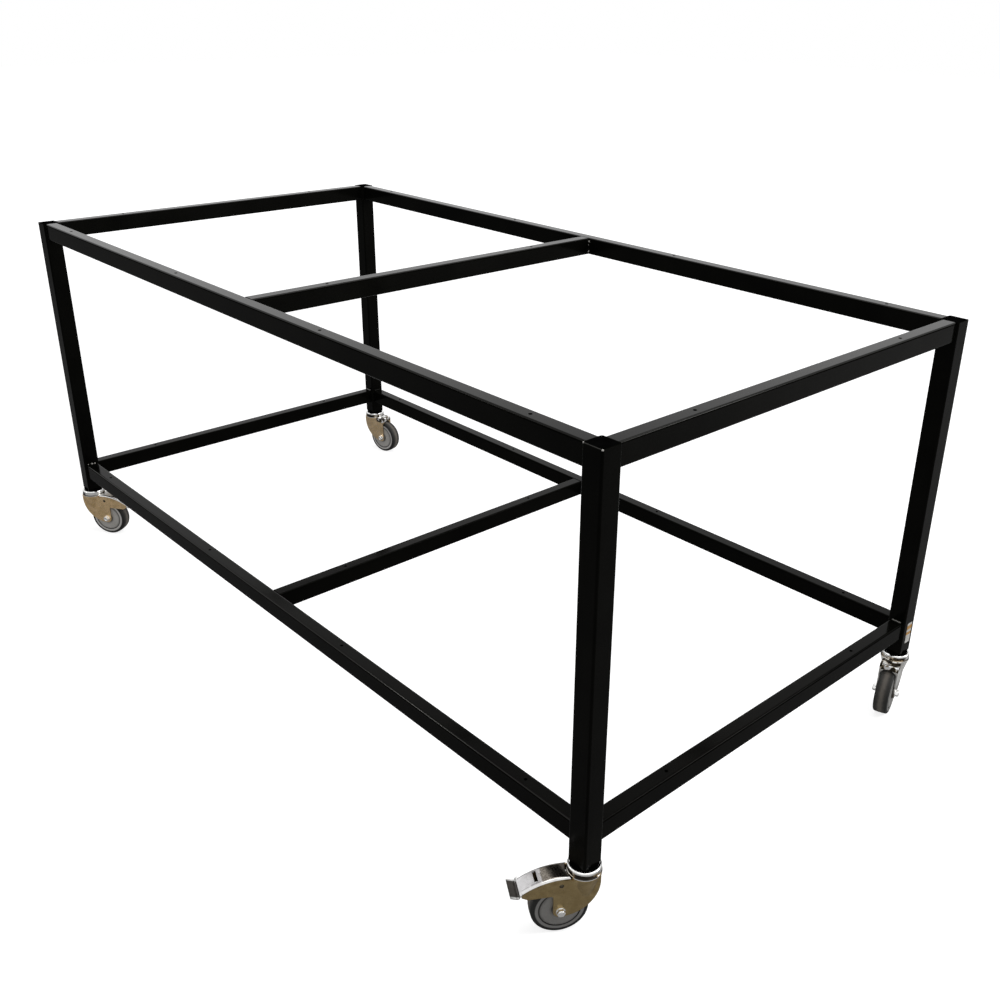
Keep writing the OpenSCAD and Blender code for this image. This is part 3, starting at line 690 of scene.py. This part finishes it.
# %% Finishes on the solids
PLAIN = {
    "leg_caps": black_plastic, "stem_plugs": black_plastic,
    "leg_front_right": worn_leg_coat, "leg_": leg_coat,
    "top_rail": top_coat, "shelf_rail_front": rubbed_coat, "shelf_rail": shelf_coat,
    "stem_bolts": steel, "kingpins": steel, "bearing_balls": steel, "brake_spring": steel,
    "axle": bright_zinc, "pedal_rivets": rivet_zinc, "lower_race": race_zinc, "brake_shoe": shoe_rubber,
}
BY_CASTER = {
    "head_cup": cup_finishes, "fork": fork_finishes, "pedal": pedal_finishes, "tyre": tyre_finishes,
    "thread_guards": guard_finishes, "wheel_centre": wheel_finishes,
}


def finish_of(node):
    for start, finishes in BY_CASTER.items():
        caster = node[len(start) + 1:]
        if node.startswith(start + "_") and caster in finishes:
            return finishes[caster]
    return next(finish for start, finish in PLAIN.items() if node.startswith(start))


for name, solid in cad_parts.items():
    solid.data.materials.clear()
    solid.data.materials.append(finish_of(name))
print("finished solids:", len(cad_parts))

# %% [markdown]
# New pieces are shaped in a bmesh and then settled: doubles merged, because a full spin can leave
# its seam double, normals turned outwards, and the mesh handed to an object at the origin that
# rides on the right body.

# %% Settle a piece
MERGE_WITHIN = 1e-6


def settle(name, shape, body, finish, smooth=True):
    bmesh.ops.remove_doubles(shape, verts=shape.verts, dist=MERGE_WITHIN)
    bmesh.ops.recalc_face_normals(shape, faces=shape.faces)
    mesh = bpy.data.meshes.new(name)
    shape.to_mesh(mesh)
    shape.free()
    for face in mesh.polygons:
        face.use_smooth = smooth
    mesh.materials.append(finish)
    piece = bpy.data.objects.new(name, mesh)
    bpy.context.scene.collection.objects.link(piece)
    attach(piece, body)
    print(name, len(mesh.polygons), "faces")


# %% [markdown]
# A weld bead is a row of small puddles that froze one on the next, so it swells and narrows every
# couple of millimetres and wanders a little off the straight line. One ring of eight points is
# extruded along the joint, and every new ring is scaled and nudged by sines, which gives the same
# bead each time. Half of it sinks into the two tubes that it joins, as the real fillet does.

# %% One weld bead
RING_STEP, FEWEST_RINGS = 0.0011, 8
SWAY = 0.0005
END_SIZE = 0.55


def weld_bead(shape, start, end, radius):
    run = end - start
    count = max(FEWEST_RINGS, round(run.length / RING_STEP))
    turn = run.to_track_quat("Z", "Y").to_matrix().to_4x4()
    made = bmesh.ops.create_circle(shape, cap_ends=True, segments=8, radius=radius * END_SIZE,
                                   matrix=Matrix.Translation(start) @ turn)
    ring = list(made["verts"])
    rim = [edge for edge in shape.edges if edge.verts[0] in ring and edge.verts[1] in ring]
    aside = turn.to_3x3() @ Vector((1, 0, 0))
    size = END_SIZE
    for k in range(1, count + 1):
        grown = bmesh.ops.extrude_edge_only(shape, edges=rim)["geom"]
        ring = [part for part in grown if isinstance(part, bmesh.types.BMVert)]
        rim = [part for part in grown if isinstance(part, bmesh.types.BMEdge)
               and part.verts[0] in ring and part.verts[1] in ring]
        wander = aside * SWAY * (math.sin(0.7 * k) - math.sin(0.7 * (k - 1)))
        bmesh.ops.translate(shape, vec=run / count + wander, verts=ring)
        next_size = END_SIZE if k == count else 1 + 0.17 * math.sin(2.7 * k) + 0.06 * math.sin(0.9 * k)
        centre = sum((vert.co for vert in ring), Vector()) / len(ring)
        bmesh.ops.scale(shape, vec=Vector((1, 1, 1)) * (next_size / size),
                        space=Matrix.Translation(-centre), verts=ring)
        size = next_size
    bmesh.ops.contextual_create(shape, geom=rim)


print("weld bead ready")

# %% [markdown]
# Each rail is welded to the leg or the long rail that carries it: down both sides, along the
# bottom, and on top as well where the leg goes on above the rail. The side beads were ground thin
# and have the coat over them. The top beads of the shelf and the beads of the top middle rail were
# left full: those of the two short shelf rails are rubbed bare, those of the back one kept their
# coat, and the others carry painted glints in spots. The rail's own box says where its ends and
# sides are, and the straight part of a side stops at the tube's rounded corners.

# %% Weld beads at the rail ends
THIN_BEAD = 0.0011
FULL_BEAD = 0.0026
CORNER = 0.004
TOP_BEADS = {"shelf_rail_left": bare_weld, "shelf_rail_right": bare_weld, "shelf_rail_back": coated_weld}


def long_axis(rail):
    low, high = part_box(rail)
    return 0 if high.x - low.x > high.y - low.y else 1


def bead_lines(rail):
    low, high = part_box(rail)
    along, across = long_axis(rail), 1 - long_axis(rail)
    thin, full = [], []
    for end in (low[along], high[along]):
        def corner(side, height):
            point = Vector((0, 0, height))
            point[along] = end
            point[across] = side
            return point
        near, far = low[across], high[across]
        upright = full if rail == "top_rail_middle" else thin
        for side in (near, far):
            upright.append((corner(side, low.z + CORNER), corner(side, high.z - CORNER)))
        if "middle" not in rail:
            thin.append((corner(near + CORNER, low.z), corner(far - CORNER, low.z)))
            if rail.startswith("shelf"):
                full.append((corner(near + CORNER, high.z), corner(far - CORNER, high.z)))
    return thin, full


def weld(name, rail, lines, radius, finish):
    shape = bmesh.new()
    for start, end in lines:
        weld_bead(shape, start, end, radius)
    settle(name + rail, shape, "frame", finish)


rails = sorted(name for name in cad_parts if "_rail_" in name)
for rail in rails:
    thin, full = bead_lines(rail)
    if thin:
        weld("welds_", rail, thin, THIN_BEAD, coated_weld)
    if full:
        weld("full_welds_", rail, full, FULL_BEAD, TOP_BEADS.get(rail, spotted_weld))

# %% [markdown]
# Powder coat draws together at a drilled edge and leaves a small swollen rim. It is given a dull,
# nearly black finish, a painted shadow round each hole. A five-point bow is spun round the hole's axis.

# %% Coat rims round the screw holes
HOLE_RADIUS = 0.0025
RIM_HALF_WIDTH, RIM_HEIGHT = 0.0004, 0.00028
LONG_HOLES = [-0.835, -0.835 / 3, 0.835 / 3, 0.835]
CROSS_HOLES = [-0.285, 0.285]


def spin_round(shape, section, centre, axis, steps, closed=True):
    verts = [shape.verts.new(point) for point in section]
    after = verts[1:] + verts[:1] if closed else verts[1:]
    edges = [shape.edges.new(pair) for pair in zip(verts, after)]
    bmesh.ops.spin(shape, geom=verts + edges, cent=centre, axis=axis, dvec=(0, 0, 0), angle=math.tau,
                   steps=steps, use_merge=True, use_normal_flip=False, use_duplicate=False)


def coat_rim(shape, centre, up):
    bow = []
    for k in range(5):
        turn = math.pi * k / 4
        out = HOLE_RADIUS + RIM_HALF_WIDTH * (1 - math.cos(turn))
        bow.append(centre + Vector((out, 0, up * RIM_HEIGHT * math.sin(turn))))
    spin_round(shape, bow, centre, axis=(0, 0, 1), steps=18, closed=False)


for rail in rails:
    low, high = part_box(rail)
    along = long_axis(rail)
    shape = bmesh.new()
    for place in (LONG_HOLES, CROSS_HOLES)[along]:
        spot = middle(rail)
        spot[along] = place
        for height, up in ((high.z, 1), (low.z, -1)):
            spot.z = height
            coat_rim(shape, spot, up)
    settle("hole_rims_" + rail, shape, "frame", hole_coat)

# %% [markdown]
# In the narrow gap of the swivel head sits a soft black seal that keeps grit from the balls. It is
# a small closed section spun round the swivel axis, between the race ring and the cup's rim.

# %% Swivel seals
SEAL_INSIDE, SEAL_OUTSIDE, SEAL_BULGE = 0.0266, 0.0284, 0.0288
SEAL_GAP = 0.00005

for caster in CASTERS:
    foot = axis_foot(caster)
    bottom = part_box("lower_race_" + caster)[1].z + SEAL_GAP
    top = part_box("head_cup_" + caster)[0].z - SEAL_GAP
    section = [foot + Vector((radius, 0, height)) for radius, height in
               ((SEAL_INSIDE, bottom), (SEAL_OUTSIDE, bottom), (SEAL_BULGE, (bottom + top) / 2),
                (SEAL_OUTSIDE, top), (SEAL_INSIDE, top))]
    shape = bmesh.new()
    spin_round(shape, section, foot, axis=(0, 0, 1), steps=64)
    settle("swivel_seal_" + caster, shape, "swivel_" + caster, seal_rubber)

# %% [markdown]
# The axle's lock nuts carry a pressed collar with a rounded edge that grips the thread. A section
# of six points is spun round the axle outside each nut. Each point is a radius and a distance
# from the nut's face.

# %% Lock nut collars
NUT_FACE = 0.0269
COLLAR = [(0.0038, -0.0004), (0.0061, -0.0004), (0.0060, 0.0006), (0.0055, 0.0012),
          (0.0046, 0.0013), (0.0038, 0.0009)]

for caster in CASTERS:
    centre = middle("tyre_" + caster)
    trail = trail_of(caster).normalized()
    axle = Vector((-trail.y, trail.x, 0))
    shape = bmesh.new()
    for side in (-1, 1):
        nut = centre + axle * side * NUT_FACE
        section = [nut + trail * radius + axle * side * out for radius, out in COLLAR]
        spin_round(shape, section, centre, axis=axle, steps=32)
    settle("nut_collars_" + caster, shape, "swivel_" + caster, bright_zinc)

# %% [markdown]
# A small label sticks on the outside of the back right leg, just under the shelf rail: white paper
# with two orange bands. Four corners make a face, they are bevelled round, the face is extruded by
# the thickness of the paper, and the bands follow the height.

# %% Label
LABEL_LOW, LABEL_HIGH = 0.158, 0.2065
LABEL_NEAR, LABEL_FAR = -0.0065, 0.011
LABEL_ROUNDING, PAPER_THICKNESS = 0.0015, 0.0002
BANDS = [(0.4, 0.56), (0.68, 0.89)]
BAND_EDGE = 0.01
ORANGE = (0.5, 0.26, 0.06)


def label_paper():
    finish = new_finish("label_paper", metallic=0.0, roughness=0.45, specular=0.4)
    where = place_of(finish)
    share = share_of(finish, split(finish, where)["Z"], LABEL_LOW, LABEL_HIGH)
    stops = [stop for low, high in BANDS for stop in
             ((low, BLACK), (low + BAND_EDGE, WHITE), (high - BAND_EDGE, WHITE), (high, BLACK))]
    steer(finish, "Base Color", ramp(finish, noise(finish, where, 90.0),
                                     [(0.3, (0.5, 0.49, 0.46)), (0.7, (0.68, 0.67, 0.64))]))
    paint_over(finish, ramp(finish, share, stops), ORANGE)
    return finish


leg_face, leg_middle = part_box("leg_back_right")[1].x, middle("leg_back_right").y
shape = bmesh.new()
corners = [shape.verts.new((leg_face, leg_middle + aside, height))
           for aside, height in ((LABEL_NEAR, LABEL_LOW), (LABEL_FAR, LABEL_LOW),
                                 (LABEL_FAR, LABEL_HIGH), (LABEL_NEAR, LABEL_HIGH))]
shape.faces.new(corners)
bmesh.ops.bevel(shape, geom=corners, offset=LABEL_ROUNDING, segments=4, profile=0.5, affect="VERTICES",
                material=-1)
grown = bmesh.ops.extrude_face_region(shape, geom=list(shape.faces))["geom"]
front = [part for part in grown if isinstance(part, bmesh.types.BMVert)]
bmesh.ops.translate(shape, vec=(PAPER_THICKNESS, 0, 0), verts=front)
settle("leg_label", shape, "frame", label_paper(), smooth=False)

# %% [markdown]
# The stage is a pale floor in a white room. The floor has a plain grey of its own, so it darkens
# under the object as a real one does, and a glow that only the camera sees lifts it to white. The
# glow grows with the distance from the object, where less of the lamps' light falls.

# %% Floor
FLOOR_GREY, FLOOR_HALF = (0.55, 0.55, 0.55, 1), 20.0
NEAR, FAR = 1.5, 6.0
NEAR_GLOW, FAR_GLOW = 0.8, 1.1


def seen_by(holder, rays):
    path = holder.node_tree.nodes.new("ShaderNodeLightPath")
    seen = path.outputs[rays[0]]
    for ray in rays[1:]:
        seen = combine(holder, seen, "MAXIMUM", path.outputs[ray])
    return seen


def pale_floor():
    finish = bpy.data.materials.new("pale_floor")
    finish.use_nodes = True
    tree = finish.node_tree
    tree.nodes.clear()
    matt = tree.nodes.new("ShaderNodeBsdfDiffuse")
    matt.inputs["Color"].default_value = FLOOR_GREY
    distance = combine_vectors(finish, place_of(finish), "LENGTH")
    rise = span(finish, distance, NEAR_GLOW, FAR_GLOW, NEAR, FAR)
    rise.node.interpolation_type = "SMOOTHSTEP"
    glow = tree.nodes.new("ShaderNodeEmission")
    tree.links.new(times(finish, seen_by(finish, ["Is Camera Ray"]), rise), glow.inputs["Strength"])
    both = tree.nodes.new("ShaderNodeAddShader")
    tree.links.new(matt.outputs[0], both.inputs[0])
    tree.links.new(glow.outputs[0], both.inputs[1])
    output = tree.nodes.new("ShaderNodeOutputMaterial")
    tree.links.new(both.outputs[0], output.inputs["Surface"])
    return finish


shape = bmesh.new()
bmesh.ops.create_grid(shape, x_segments=1, y_segments=1, size=FLOOR_HALF)
floor_mesh = bpy.data.meshes.new("floor")
shape.to_mesh(floor_mesh)
shape.free()
floor_mesh.materials.append(pale_floor())
floor = bpy.data.objects.new("floor", floor_mesh)
bpy.context.scene.collection.objects.link(floor)
print("floor", floor.dimensions.x, "m")

# %% [markdown]
# The room is white for the camera and in every reflection, which Light Path tells apart from the
# light that falls on the object. That light stays plain and soft: a large box light overhead, a
# second one that brightens the floor at the back right, a small one from the front left for the
# thin lines along the tube edges, and a faint light from the room itself.

# %% Room and lamps
ROOM_LIGHT, ROOM_WHITE = 0.3, 1.0


def white_room():
    room = bpy.data.worlds.new("room")
    room.use_nodes = True
    tree = room.node_tree
    tree.nodes.clear()
    both = tree.nodes.new("ShaderNodeMixShader")
    mirrored = seen_by(room, ["Is Camera Ray", "Is Glossy Ray", "Is Transmission Ray"])
    tree.links.new(mirrored, both.inputs["Fac"])
    for socket, strength in zip(both.inputs[1:], (ROOM_LIGHT, ROOM_WHITE)):
        wall = tree.nodes.new("ShaderNodeBackground")
        wall.inputs["Color"].default_value = (1, 1, 1, 1)
        wall.inputs["Strength"].default_value = strength
        tree.links.new(wall.outputs[0], socket)
    output = tree.nodes.new("ShaderNodeOutputWorld")
    tree.links.new(both.outputs[0], output.inputs["Surface"])
    return room


def box_light(name, place, aim, size, watts):
    lamp = bpy.data.lights.new(name, "AREA")
    lamp.shape = "SQUARE"
    lamp.size = size
    lamp.energy = watts
    holder = bpy.data.objects.new(name, lamp)
    holder.location = place
    holder.rotation_mode = "QUATERNION"
    holder.rotation_quaternion = (Vector(aim) - Vector(place)).to_track_quat("-Z", "Y")
    bpy.context.scene.collection.objects.link(holder)
    print(name, watts, "W")


bpy.context.scene.world = white_room()
box_light("overhead_box", place=(0.6, 0.6, 3.8), aim=(0.2, 0.2, 0.4), size=3.5, watts=70)
box_light("back_right_box", place=(3.6, 2.8, 2.6), aim=(1.7, 1.4, 0.0), size=1.4, watts=75)
box_light("front_left_box", place=(-2.6, -3.2, 2.6), aim=(0, 0, 0.4), size=0.5, watts=14)
